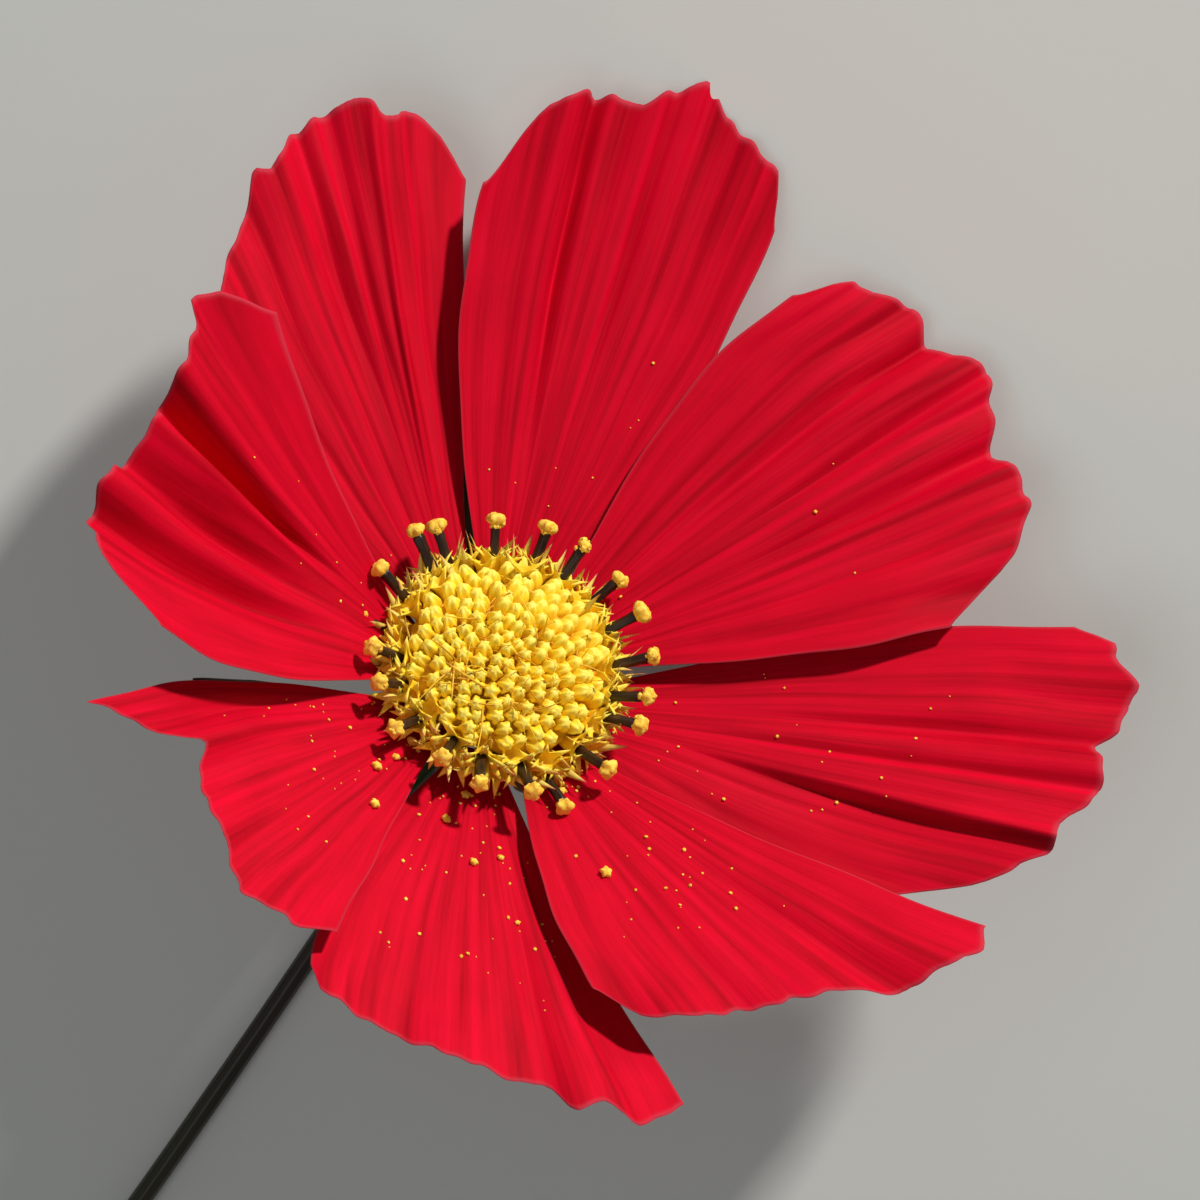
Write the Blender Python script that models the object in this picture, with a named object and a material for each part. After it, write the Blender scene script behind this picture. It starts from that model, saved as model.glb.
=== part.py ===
"""A red cosmos flower, cut and laid down: its stem lies along the surface and bends up to the head.

The head stands on two of its petals and leans back at 45 degrees. Everything in the head is placed
from one empty at the middle of the ring of petals, with the flower's own axis as its +Z.
"""

import math

import bpy
import numpy as np

MM = 0.001

# Where the head is, and how it leans
HEAD_PLACE = (0.0202, 0.0029, 0.0176)
HEAD_LEAN = math.radians(45)

# Stem
STEM_RADIUS = 0.80 * MM
STEM_NECK_RADIUS = 0.70 * MM
STEM_BEND = 36 * MM
STEM_END_X = -0.0611
STEM_SWAY = 1.2 * MM
STEM_POINTS = 34
STEM_BEVEL_STEPS = 3
STEM_GAP = 0.3 * MM

# Receptacle, the swollen end of the stem that carries every other piece
RECEPTACLE_RADIUS = 4.2 * MM
RECEPTACLE_DEPTH = 6.4 * MM
RECEPTACLE_SIDES = 24

# Petals
PETAL_THICKNESS = 0.3 * MM
PETAL_BASE = 4.7 * MM
CLAW_HALF_WIDTH = 1.2 * MM
PETAL_ROWS = 12
PETAL_COLUMNS = 14

# Bracts
BRACT_COUNT = 8
BRACT_THICKNESS = 0.35 * MM
BRACT_ROWS = 6
BRACT_COLUMNS = 2
OUTER_BRACT_TURN = 124
INNER_BRACT_TURN = 14

# Florets of the yellow disc
OUTER_FLORET_COUNT = 20
OUTER_FLORET_RING = 3.4 * MM
OUTER_FLORET_FOOT = 1.95 * MM
OUTER_FLORET_LEAN = math.radians(58)
OUTER_FLORET_SIDES = 7
INNER_FLORET_SIDES = 30

# One row for each petal, counted anticlockwise from the petal beside the surface:
# turn of its midline in degrees, rise from the flower's plane in degrees, height of its claw in mm,
# width of its right and left halves in mm, fullness of its right and left sides from 0 to 1,
# curl of its tip and lift of its left edge in mm, and its tip as pairs of (place across from -1 to 1,
# reach from the axis in mm)
PETALS = [
    dict(turn=57, rise=20, level=0.0, right=11.5, left=11.0, full_right=0.1, full_left=0.8,
         curl=0.0, edge_lift=0.0,
         tip=[(-1, 34.3), (-0.92, 37.2), (-0.74, 38.6), (-0.67, 38.0), (-0.4, 40.0), (0, 39.2),
              (0.22, 37.2), (0.35, 37.4), (0.48, 35.0), (0.82, 31.0), (1, 26.0)]),
    dict(turn=106, rise=33, level=1.1, right=13.2, left=12.8, full_right=0.22, full_left=1.0,
         curl=0.0, edge_lift=0.0,
         tip=[(-1, 25.5), (-0.82, 29.7), (-0.7, 27.8), (-0.5, 28.3), (-0.1, 28.9), (0.2, 30.1),
              (0.38, 31.3), (0.48, 30.7), (0.6, 31.0), (0.83, 29.4), (1, 24.0)]),
    dict(turn=158, rise=27, level=0.55, right=10.0, left=11.2, full_right=0.95, full_left=0.5,
         curl=0.0, edge_lift=0.0,
         tip=[(-1, 31.3), (-0.88, 29.8), (-0.6, 27.6), (-0.44, 24.8), (-0.31, 26.1), (-0.1, 27.6),
              (0.2, 28.3), (0.54, 30.0), (0.62, 29.3), (0.87, 28.1), (1, 25.0)]),
    dict(turn=204, rise=23, level=0.0, right=11.6, left=14.6, full_right=0.9, full_left=0.4,
         curl=0.0, edge_lift=0.0,
         tip=[(-1, 27.0), (-0.96, 29.5), (-0.76, 30.8), (-0.3, 32.4), (0.21, 33.4), (0.34, 33.1),
              (0.45, 35.0), (0.6, 34.0), (0.77, 34.5), (0.92, 33.2), (1, 31.5)]),
    dict(turn=246, rise=24, level=1.1, right=11.0, left=13.3, full_right=0.85, full_left=0.37,
         curl=0.0, edge_lift=0.0,
         tip=[(-1, 23.0), (-0.91, 26.9), (-0.63, 29.2), (-0.27, 30.8), (0.1, 32.3), (0.25, 33.4),
              (0.44, 35.2), (0.68, 35.0), (0.78, 35.6), (0.9, 35.4), (1, 34.0)]),
    dict(turn=289, rise=20, level=0.0, right=10.5, left=12.0, full_right=0.8, full_left=0.85,
         curl=0.0, edge_lift=0.0,
         tip=[(-1, 24.0), (-0.93, 29.0), (-0.74, 34.8), (-0.46, 38.6), (-0.3, 38.6), (0, 41.1),
              (0.27, 40.2), (0.37, 41.2), (0.68, 42.2), (0.83, 40.4), (0.95, 39.8), (1, 36.5)]),
    dict(turn=333, rise=22.5, level=1.1, right=13.0, left=13.0, full_right=0.75, full_left=0.95,
         curl=-1.2, edge_lift=0.9,
         tip=[(-1, 27.0), (-0.85, 33.7), (-0.62, 37.0), (-0.38, 37.4), (-0.3, 36.9), (0.12, 39.5),
              (0.25, 38.6), (0.39, 36.8), (0.6, 37.6), (0.78, 35.3), (0.92, 34.0), (1, 29.5)]),
    dict(turn=379, rise=22.0, level=0.55, right=10.2, left=10.4, full_right=0.9, full_left=1.0,
         curl=0.8, edge_lift=0.0,
         tip=[(-1, 33.6), (-0.93, 37.8), (-0.56, 40.0), (-0.28, 42.8), (0.13, 39.7), (0.42, 39.9),
              (0.75, 37.2), (1, 31.0)]),
]


def clear_scene():
    for old in list(bpy.data.objects):
        bpy.data.objects.remove(old)


def finish_of(name, colour, roughness):
    """A plain non-metallic material."""
    made = bpy.data.materials.new(name)
    made.use_nodes = True
    shader = made.node_tree.nodes["Principled BSDF"]
    shader.inputs["Base Color"].default_value = (*colour, 1)
    shader.inputs["Roughness"].default_value = roughness
    shader.inputs["Metallic"].default_value = 0
    return made


def add_object(name, mesh, finish, parent):
    """A smooth-shaded object for the mesh, carried by the parent."""
    mesh.materials.append(finish)
    mesh.shade_smooth()
    piece = bpy.data.objects.new(name, mesh)
    bpy.context.scene.collection.objects.link(piece)
    piece.parent = parent
    return piece


def sheet_mesh(name, surface, rows, columns):
    """The surface x, y, z of (along 0..1, across -1..1) as a grid of quads facing +Z."""
    along, across = np.meshgrid(np.linspace(0, 1, rows + 1), np.linspace(-1, 1, columns + 1), indexing="ij")
    points = np.stack(surface(along, across), axis=-1).reshape(-1, 3)
    number = np.arange(points.shape[0]).reshape(rows + 1, columns + 1)
    quads = np.stack([number[:-1, :-1], number[1:, :-1], number[1:, 1:], number[:-1, 1:]], axis=-1)
    mesh = bpy.data.meshes.new(name)
    mesh.from_pydata(points.tolist(), [], quads.reshape(-1, 4).tolist())
    return mesh


def thicken(piece, thickness):
    """Gives a sheet its thickness, half to each side."""
    wall = piece.modifiers.new("thickness", "SOLIDIFY")
    wall.thickness = thickness
    wall.offset = 0


def turned_mesh(name, profile, sides):
    """A profile of (radius, height), from the bottom of the axis to its top, turned about +Z."""
    angle = np.linspace(0, 2 * math.pi, sides, endpoint=False)
    rings = [(radius, height) for radius, height in profile[1:-1]]
    points = [(0, 0, profile[0][1])]
    for radius, height in rings:
        points += [(radius * math.cos(a), radius * math.sin(a), height) for a in angle]
    points.append((0, 0, profile[-1][1]))
    last = len(points) - 1
    faces = []
    for k in range(sides):
        after = (k + 1) % sides
        faces.append((0, 1 + after, 1 + k))
        for ring in range(len(rings) - 1):
            low = 1 + ring * sides
            high = low + sides
            faces.append((low + k, low + after, high + after, high + k))
        top = 1 + (len(rings) - 1) * sides
        faces.append((top + k, top + after, last))
    mesh = bpy.data.meshes.new(name)
    mesh.from_pydata(points, [], faces)
    return mesh


def petal_surface(petal):
    """The sheet of one ray petal, with +X along its midline.

    It widens from the claw to its full width, reaches out to the toothed tip, and rises as a cone
    about the flower's axis, so that neighbours lie one on another as they do in the bud.
    """
    tip_across = [place for place, reach in petal["tip"]]
    tip_reach = [reach * MM for place, reach in petal["tip"]]
    rise = math.tan(math.radians(petal["rise"]))

    def surface(along, across):
        reach = np.interp(across, tip_across, tip_reach)
        full = np.where(across < 0, petal["full_right"], petal["full_left"])
        half = np.where(across < 0, petal["right"], petal["left"]) * MM
        widening = full * np.sin(along * math.pi / 2) + (1 - full) * along**2
        x = PETAL_BASE + (reach - PETAL_BASE) * along
        y = across * (CLAW_HALF_WIDTH + (half - CLAW_HALF_WIDTH) * widening)
        out = np.hypot(x, y) - PETAL_BASE
        curl = petal["curl"] * along**6 + petal["edge_lift"] * along * np.clip(across, 0, 1) ** 2
        z = petal["level"] * MM + rise * out + curl * MM
        return x, y, z

    return surface


def bract_surface(path, half_widths, trough):
    """A pointed leaf along +X: a path of (out, up), its half widths there, and how far its middle dips."""
    steps = np.linspace(0, 1, len(path))
    outs = [out * MM for out, up in path]
    ups = [up * MM for out, up in path]
    halves = [half * MM for half in half_widths]

    def surface(along, across):
        x = np.interp(along, steps, outs)
        y = across * np.interp(along, steps, halves)
        z = np.interp(along, steps, ups) - trough * MM * (1 - across**2)
        return x, y, z

    return surface


def add_stem(finish):
    """A tube from below the receptacle, bent round to the surface, then lying along it."""
    lean = np.array([math.cos(HEAD_LEAN), 0, math.sin(HEAD_LEAN)])
    neck = np.array(HEAD_PLACE) - lean * (RECEPTACLE_DEPTH + STEM_GAP)
    bend_drop = STEM_BEND * (1 - math.cos(HEAD_LEAN))
    straight = max(0.0, (neck[2] - STEM_RADIUS - bend_drop) / math.sin(HEAD_LEAN))
    bend_start = neck - lean * straight
    bend_length = STEM_BEND * HEAD_LEAN
    lying_start = bend_start[0] - STEM_BEND * math.sin(HEAD_LEAN)
    lying = lying_start - STEM_END_X
    total = straight + bend_length + lying
    points = []
    for walked in np.linspace(0, total, STEM_POINTS):
        share = walked / total
        radius = STEM_NECK_RADIUS + (STEM_RADIUS - STEM_NECK_RADIUS) * share
        turned = min(max(walked - straight, 0), bend_length) / STEM_BEND
        before = min(walked, straight)
        after = max(walked - straight - bend_length, 0)
        bent_along = STEM_BEND * (math.sin(HEAD_LEAN) - math.sin(HEAD_LEAN - turned))
        bent_down = STEM_BEND * (math.cos(HEAD_LEAN - turned) - math.cos(HEAD_LEAN))
        x = neck[0] - before * lean[0] - bent_along - after
        z = neck[2] - before * lean[2] - bent_down
        y = HEAD_PLACE[1] + STEM_SWAY * (after / lying) ** 2
        points.append(((x, y, max(z, radius)), radius))
    curve = bpy.data.curves.new("stem", "CURVE")
    curve.dimensions = "3D"
    curve.bevel_depth = 1.0
    curve.bevel_resolution = STEM_BEVEL_STEPS
    curve.use_fill_caps = True
    line = curve.splines.new("POLY")
    line.points.add(len(points) - 1)
    for knot, (place, radius) in zip(line.points, points):
        knot.co = (*place, 1)
        knot.radius = radius
    stem = bpy.data.objects.new("stem", curve)
    curve.materials.append(finish)
    bpy.context.scene.collection.objects.link(stem)


def add_receptacle(head, finish):
    """The swollen stem end: a cup below the petals and a low dome above them for the florets."""
    wide = RECEPTACLE_RADIUS
    profile = [
        (0, -RECEPTACLE_DEPTH),
        (0.24 * wide, -RECEPTACLE_DEPTH),
        (0.40 * wide, -5.4 * MM),
        (0.55 * wide, -4.2 * MM),
        (0.76 * wide, -2.6 * MM),
        (wide, -0.9 * MM),
        (wide, 0.9 * MM),
        (0.8 * wide, 1.4 * MM),
        (0.4 * wide, 1.7 * MM),
        (0, 1.8 * MM),
    ]
    add_object("receptacle", turned_mesh("receptacle", profile, RECEPTACLE_SIDES), finish, head)


def add_bracts(head, outer_finish, inner_finish):
    """Eight narrow green outer bracts below, and eight broad thin inner bracts against the petals."""
    outer = bract_surface(
        path=[(2.5, -5.4), (6.0, -5.1), (11.0, -4.0), (16.0, -2.8), (21.0, -1.2)],
        half_widths=[0.8, 1.1, 1.2, 0.9, 0.12],
        trough=0.25,
    )
    inner = bract_surface(
        path=[(2.9, -4.3), (3.9, -2.7), (5.0, -1.0), (7.4, -0.1), (9.6, 0.7)],
        half_widths=[0.8, 1.2, 1.5, 1.6, 0.2],
        trough=0.2,
    )
    for k in range(BRACT_COUNT):
        step = 360 * k / BRACT_COUNT
        name = f"outer_bract_{k + 1}"
        leaf = add_object(name, sheet_mesh(name, outer, BRACT_ROWS, BRACT_COLUMNS), outer_finish, head)
        leaf.rotation_euler[2] = math.radians(OUTER_BRACT_TURN + step)
        thicken(leaf, BRACT_THICKNESS)
        name = f"inner_bract_{k + 1}"
        scale = add_object(name, sheet_mesh(name, inner, BRACT_ROWS, BRACT_COLUMNS), inner_finish, head)
        scale.rotation_euler[2] = math.radians(INNER_BRACT_TURN + step)
        thicken(scale, BRACT_THICKNESS)


def add_petals(head, finish):
    """Eight ray petals round the receptacle's rim."""
    for k, petal in enumerate(PETALS):
        name = f"petal_{k + 1}"
        mesh = sheet_mesh(name, petal_surface(petal), PETAL_ROWS, PETAL_COLUMNS)
        leaf = add_object(name, mesh, finish, head)
        leaf.rotation_euler[2] = math.radians(petal["turn"])
        thicken(leaf, PETAL_THICKNESS)


def add_inner_florets(head, finish):
    """The closed florets in the middle of the disc, one head that widens upwards under a dome."""
    profile = [(0, 2.2), (2.5, 2.4), (4.3, 4.0), (6.0, 5.6), (5.7, 6.3), (4.2, 7.1), (2.2, 7.5),
               (0, 7.6)]
    profile = [(radius * MM, height * MM) for radius, height in profile]
    add_object("inner_florets", turned_mesh("inner_florets", profile, INNER_FLORET_SIDES), finish, head)


def add_outer_florets(head, finish):
    """A ring of open florets: a yellow trumpet, a thin dark anther tube, and a head of pollen."""
    profile = [(0, 0), (0.34, 0), (0.42, 1.8), (0.62, 3.2), (0.98, 4.7), (0.36, 5.0), (0.33, 7.3), (0.6, 7.7),
               (0.5, 8.3), (0, 8.4)]
    profile = [(radius * MM, height * MM) for radius, height in profile]
    for k in range(OUTER_FLORET_COUNT):
        name = f"outer_floret_{k + 1}"
        floret = add_object(name, turned_mesh(name, profile, OUTER_FLORET_SIDES), finish, head)
        spin = 2 * math.pi * k / OUTER_FLORET_COUNT
        foot_x = OUTER_FLORET_RING * math.cos(spin)
        foot_y = OUTER_FLORET_RING * math.sin(spin)
        floret.location = (foot_x, foot_y, OUTER_FLORET_FOOT)
        floret.rotation_euler = (0, OUTER_FLORET_LEAN, spin)


def add_head():
    """The empty that carries the head: its +Z is the flower's axis, its +X points down to the surface."""
    head = bpy.data.objects.new("head", None)
    bpy.context.scene.collection.objects.link(head)
    head.location = HEAD_PLACE
    head.rotation_euler = (0, math.pi / 2 - HEAD_LEAN, 0)
    return head


clear_scene()
stem_finish = finish_of("stem", (0.035, 0.022, 0.012), 0.5)
green_finish = finish_of("green", (0.06, 0.12, 0.03), 0.55)
bract_finish = finish_of("inner_bract", (0.22, 0.20, 0.07), 0.5)
petal_finish = finish_of("petal", (0.72, 0.003, 0.03), 0.55)
disc_finish = finish_of("disc", (0.9, 0.62, 0.02), 0.6)
head_empty = add_head()
add_stem(stem_finish)
add_receptacle(head_empty, green_finish)
add_bracts(head_empty, green_finish, bract_finish)
add_petals(head_empty, petal_finish)
add_inner_florets(head_empty, disc_finish)
add_outer_florets(head_empty, disc_finish)
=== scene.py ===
import math

import bpy
import numpy as np
from mathutils import Matrix


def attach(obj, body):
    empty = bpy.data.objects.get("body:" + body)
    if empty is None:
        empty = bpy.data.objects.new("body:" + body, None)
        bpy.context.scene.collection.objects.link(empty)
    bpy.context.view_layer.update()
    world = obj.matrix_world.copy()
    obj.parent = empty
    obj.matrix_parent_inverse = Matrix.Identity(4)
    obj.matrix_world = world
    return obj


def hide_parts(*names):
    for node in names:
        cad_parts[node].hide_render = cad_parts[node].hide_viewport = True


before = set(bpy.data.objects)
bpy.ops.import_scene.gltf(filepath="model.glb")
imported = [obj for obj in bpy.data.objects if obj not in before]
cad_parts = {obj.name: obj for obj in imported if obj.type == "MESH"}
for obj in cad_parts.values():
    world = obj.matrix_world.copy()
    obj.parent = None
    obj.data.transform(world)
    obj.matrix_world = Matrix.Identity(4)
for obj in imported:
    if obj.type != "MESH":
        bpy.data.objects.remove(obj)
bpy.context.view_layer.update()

MM = 0.001

# ---- Camera, floor and light ------------------------------------------------------------------
# The flower lies on a pale floor with its head bent up. The view looks down on it, thirty degrees
# off the head's axis, and is rolled so that the stem runs to the lower left. A low warm key comes
# from the side that the head faces, and a pale fill from above softens its shadows.

head_place = np.array([0.0202, 0.0029, 0.0176])
side = np.array([0.0, 1.0, 0.0])

view_height = math.radians(75)
view_roll = math.radians(55.8)
view_distance = 0.445
target_right = 7.85 * MM
target_up = 6.25 * MM
towards_view = np.array([math.cos(view_height), 0.0, math.sin(view_height)])
uphill = np.array([math.sin(view_height), 0.0, -math.cos(view_height)])
view_right = math.cos(view_roll) * uphill - math.sin(view_roll) * side
view_up = math.sin(view_roll) * uphill + math.cos(view_roll) * side
target = head_place + target_right * view_right + target_up * view_up


def stand_at(holder, across, upwards, backwards, place):
    """Puts a camera or a lamp at a place, with its own x, y and z along the three directions."""
    pose = np.eye(4)
    pose[:3, :3] = np.stack([across, upwards, backwards], axis=1)
    pose[:3, 3] = place
    holder.matrix_world = Matrix(pose.tolist())


lens = bpy.data.cameras.new("camera")
lens.lens = 192.2
lens.clip_start = 0.01
camera = bpy.data.objects.new("camera", lens)
bpy.context.scene.collection.objects.link(camera)
stand_at(camera, view_right, view_up, towards_view, target + view_distance * towards_view)
bpy.context.scene.camera = camera

floor_half = 3.0
floor_corners = [(-floor_half, -floor_half, 0), (floor_half, -floor_half, 0), (floor_half, floor_half, 0),
                 (-floor_half, floor_half, 0)]
floor_mesh = bpy.data.meshes.new("floor")
floor_mesh.from_pydata(floor_corners, [], [(0, 1, 2, 3)])
floor = bpy.data.objects.new("floor", floor_mesh)
bpy.context.scene.collection.objects.link(floor)
floor_finish = bpy.data.materials.new("floor")
floor_finish.use_nodes = True
floor_shader = floor_finish.node_tree.nodes["Principled BSDF"]
floor_shader.inputs["Base Color"].default_value = (0.86, 0.87, 0.84, 1)
floor_shader.inputs["Roughness"].default_value = 0.8
floor_mesh.materials.append(floor_finish)


def add_lamp(name, direction, distance, size, power, colour):
    """A square soft lamp that faces the head from a direction, at a distance."""
    lamp = bpy.data.lights.new(name, "AREA")
    lamp.size = size
    lamp.energy = power
    lamp.color = colour
    holder = bpy.data.objects.new(name, lamp)
    bpy.context.scene.collection.objects.link(holder)
    towards = np.array(direction) / np.linalg.norm(direction)
    across = np.cross(side, towards)
    across /= np.linalg.norm(across)
    stand_at(holder, across, np.cross(towards, across), towards, head_place + towards * distance)


add_lamp("key", (0.95, -0.04, 0.27), 0.9, 0.07, 8.8, (1.0, 0.97, 0.93))
add_lamp("fill", (-0.2, 0.2, 0.95), 1.1, 0.8, 1.5, (0.95, 0.97, 1.0))
room = bpy.data.worlds.new("room")
room.use_nodes = True
room.node_tree.nodes["Background"].inputs["Color"].default_value = (0.86, 0.92, 0.88, 1)
room.node_tree.nodes["Background"].inputs["Strength"].default_value = 0.13
bpy.context.scene.world = room
bpy.context.scene.view_settings.view_transform = "Standard"

# ---- Stem -------------------------------------------------------------------------------------
# One thin cut stem, near black where it carries the head and greener towards the cut. It grows
# with fine ridges along it, bends down from the receptacle and lies along the surface.

head_lean = math.radians(45)
axis = np.array([math.cos(head_lean), 0.0, math.sin(head_lean)])
neck_depth = 6.5 * MM
neck_radius = 0.70 * MM
stem_radius = 0.80 * MM
collar_height = 0.28 * MM
collar_length = 1.6 * MM
stem_bend = 36 * MM
stem_end = -0.0611
stem_sway = 1.2 * MM
stem_rings = 260
stem_sides = 40
stem_ridges = 8
stem_ridge_height = 0.03
cut_edge = math.radians(50)

# The stem runs straight back from the neck, round an arc until it lies level, then straight on.
neck = head_place - axis * neck_depth
bend_drop = stem_bend * (1 - math.cos(head_lean))
straight = max(0.0, (neck[2] - stem_radius - bend_drop) / math.sin(head_lean))
bend_length = stem_bend * head_lean
lying = neck[0] - straight * axis[0] - stem_bend * math.sin(head_lean) - stem_end
walked = np.linspace(0, straight + bend_length + lying, stem_rings)
round_bend = np.clip(walked - straight, 0, bend_length) / stem_bend
past = np.clip(walked - straight - bend_length, 0, None)
before = np.minimum(walked, straight)
bent_along = stem_bend * (math.sin(head_lean) - np.sin(head_lean - round_bend))
bent_down = stem_bend * (np.cos(head_lean - round_bend) - math.cos(head_lean))
stem_radii = neck_radius + (stem_radius - neck_radius) * walked / walked[-1]
stem_radii = stem_radii + collar_height * np.exp(-((walked / collar_length) ** 2))
path_x = neck[0] - before * axis[0] - bent_along - past
path_y = head_place[1] + stem_sway * (past / lying) ** 2
path_z = neck[2] - before * axis[2] - bent_down
stem_path = np.stack([path_x, path_y, np.maximum(path_z, stem_radii)], axis=-1)


def ring_skin(first, rings, sides):
    """The quads between rings of points, with each point's number and that of the next one in its ring."""
    number = first + np.arange(rings * sides).reshape(rings, sides)
    after = np.roll(number, -1, axis=1)
    skin = np.stack([number[:-1], after[:-1], after[1:], number[1:]], axis=-1).reshape(-1, 4)
    return skin.tolist(), number, after


def tube_rings(path, radii, sides, ridges, ridge_height):
    """Rings across a path. Ring k has radius radii[k], drawn in between the ridges by a cosine round it."""
    heading = np.gradient(path, axis=0)
    heading /= np.linalg.norm(heading, axis=1, keepdims=True)
    level = np.cross(heading, side)
    level /= np.linalg.norm(level, axis=1, keepdims=True)
    flank = np.cross(heading, level)
    angle = np.linspace(0, 2 * math.pi, sides, endpoint=False)
    radius = radii[:, None] * (1 - ridge_height + ridge_height * np.cos(ridges * angle))
    along_level = np.cos(angle)[:, None] * level[:, None]
    along_flank = np.sin(angle)[:, None] * flank[:, None]
    return path[:, None] + radius[..., None] * (along_level + along_flank)


def add_piece(name, points, faces, finish, slot, *nodes):
    """A smooth-shaded mesh of points and faces in place, which takes over from the named nodes."""
    mesh = bpy.data.meshes.new(name)
    mesh.from_pydata(points.tolist(), [], faces)
    mesh.shade_smooth()
    mesh.materials.append(finish)
    piece = bpy.data.objects.new(name, mesh)
    bpy.context.scene.collection.objects.link(piece)
    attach(piece, "root")
    if nodes:
        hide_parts(*nodes)
    return piece


def new_finish(name, roughness):
    """A material, its node tree and its shader."""
    finish = bpy.data.materials.new(name)
    finish.use_nodes = True
    shader = finish.node_tree.nodes["Principled BSDF"]
    shader.inputs["Roughness"].default_value = roughness
    return finish, finish.node_tree, shader


def object_place(tree):
    """The place on the object, in metres."""
    return tree.nodes.new("ShaderNodeTexCoord").outputs["Object"]


def axes_of(tree, vector):
    """The x and the y of a vector."""
    split = tree.nodes.new("ShaderNodeSeparateXYZ")
    tree.links.new(vector, split.inputs["Vector"])
    return split.outputs["X"], split.outputs["Y"]


def add_noise(tree, vector, stretch, scale, detail):
    """Noise from 0 to 1 on a vector, stretched along each axis and then scaled."""
    mapping = tree.nodes.new("ShaderNodeMapping")
    mapping.inputs["Scale"].default_value = stretch
    tree.links.new(vector, mapping.inputs["Vector"])
    noise = tree.nodes.new("ShaderNodeTexNoise")
    noise.inputs["Scale"].default_value = scale
    noise.inputs["Detail"].default_value = detail
    tree.links.new(mapping.outputs["Vector"], noise.inputs["Vector"])
    return noise.outputs["Fac"]


def add_ramp(tree, value, stops):
    """The colour that a value has between stops of (value, colour)."""
    ramp = tree.nodes.new("ShaderNodeValToRGB")
    while len(ramp.color_ramp.elements) < len(stops):
        ramp.color_ramp.elements.new(0.5)
    for element, (position, colour) in zip(ramp.color_ramp.elements, stops):
        element.position = position
        element.color = (*colour, 1)
    tree.links.new(value, ramp.inputs["Fac"])
    return ramp.outputs["Color"]


def mix_colours(tree, share, first, second, blend="MIX"):
    """Two colours mixed by a share. Each of the three is a socket or a plain value."""
    mix = tree.nodes.new("ShaderNodeMix")
    mix.data_type = "RGBA"
    mix.blend_type = blend
    for socket, value in ((mix.inputs[0], share), (mix.inputs[6], first), (mix.inputs[7], second)):
        if isinstance(value, (float, int)):
            socket.default_value = value
        elif isinstance(value, tuple):
            socket.default_value = (*value, 1)
        else:
            tree.links.new(value, socket)
    return mix.outputs[2]


def paint(tree, shader, colour, height, strength, distance):
    """Gives the shader its colour, and a bump from a height."""
    tree.links.new(colour, shader.inputs["Base Color"])
    bump = tree.nodes.new("ShaderNodeBump")
    bump.inputs["Strength"].default_value = strength
    bump.inputs["Distance"].default_value = distance
    tree.links.new(height, bump.inputs["Height"])
    tree.links.new(bump.outputs["Normal"], shader.inputs["Normal"])


stem_finish, tree, shader = new_finish("stem", 0.42)
grain = add_noise(tree, object_place(tree), (60, 900, 900), 1.0, 4)
shade = add_ramp(tree, grain, [(0.35, (0.012, 0.007, 0.005)), (0.6, (0.035, 0.018, 0.010)),
                               (0.8, (0.07, 0.045, 0.018))])
along_stem, across_stem = axes_of(tree, object_place(tree))
greener = tree.nodes.new("ShaderNodeMapRange")
greener.inputs["From Min"].default_value = -0.01
greener.inputs["From Max"].default_value = -0.06
tree.links.new(along_stem, greener.inputs["Value"])
shade = mix_colours(tree, greener.outputs["Result"], shade, (0.045, 0.05, 0.014))
paint(tree, shader, shade, grain, 0.3, 0.0002)

stem_points = tube_rings(stem_path, stem_radii, stem_sides, stem_ridges, stem_ridge_height)
stem_faces, stem_number, stem_after = ring_skin(0, stem_rings, stem_sides)
stem_faces += [stem_number[0, ::-1].tolist(), stem_number[-1].tolist()]
stem = add_piece("stem_skin", stem_points.reshape(-1, 3), stem_faces, stem_finish, "stem", "stem")
stem.data.set_sharp_from_angle(angle=cut_edge)

# ---- Receptacle -------------------------------------------------------------------------------
# The swollen green end of the stem. It is one fleshy cup that carries the bracts on its flank,
# the petals round its rim and the florets on its low dome.

down = np.array([math.sin(head_lean), 0.0, -math.cos(head_lean)])
cup_profile = np.array([(0.0, -6.4), (0.9, -6.4), (1.15, -6.15), (1.55, -5.5), (2.2, -4.3), (3.0, -2.9),
                        (3.8, -1.5), (4.15, -0.7), (4.2, 0.0), (4.15, 0.7), (3.7, 1.2), (2.6, 1.55),
                        (1.2, 1.75), (0.0, 1.8)]) * MM
cup_rings = 60
cup_sides = 72
cup_ribs = 12
cup_rib_height = 0.025


def on_head(points):
    """From the head's own place to the scene: x runs down the head, y across it and z along its axis."""
    return head_place + points[..., :1] * down + points[..., 1:2] * side + points[..., 2:] * axis


def closed_body(radius, height, lowest, highest):
    """Rings about +Z, each with a radius and a height at every angle, closed by a point at either end."""
    rings, sides = radius.shape
    angle = np.linspace(0, 2 * math.pi, sides, endpoint=False)
    body = np.stack([radius * np.cos(angle), radius * np.sin(angle), height], axis=-1).reshape(-1, 3)
    points = np.concatenate([[[0, 0, lowest]], body, [[0, 0, highest]]])
    skin, number, after = ring_skin(1, rings, sides)
    foot = np.stack([np.zeros(sides, int), after[0], number[0]], axis=-1)
    crown = np.stack([number[-1], after[-1], np.full(sides, len(points) - 1)], axis=-1)
    return points, skin + foot.tolist() + crown.tolist()


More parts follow.
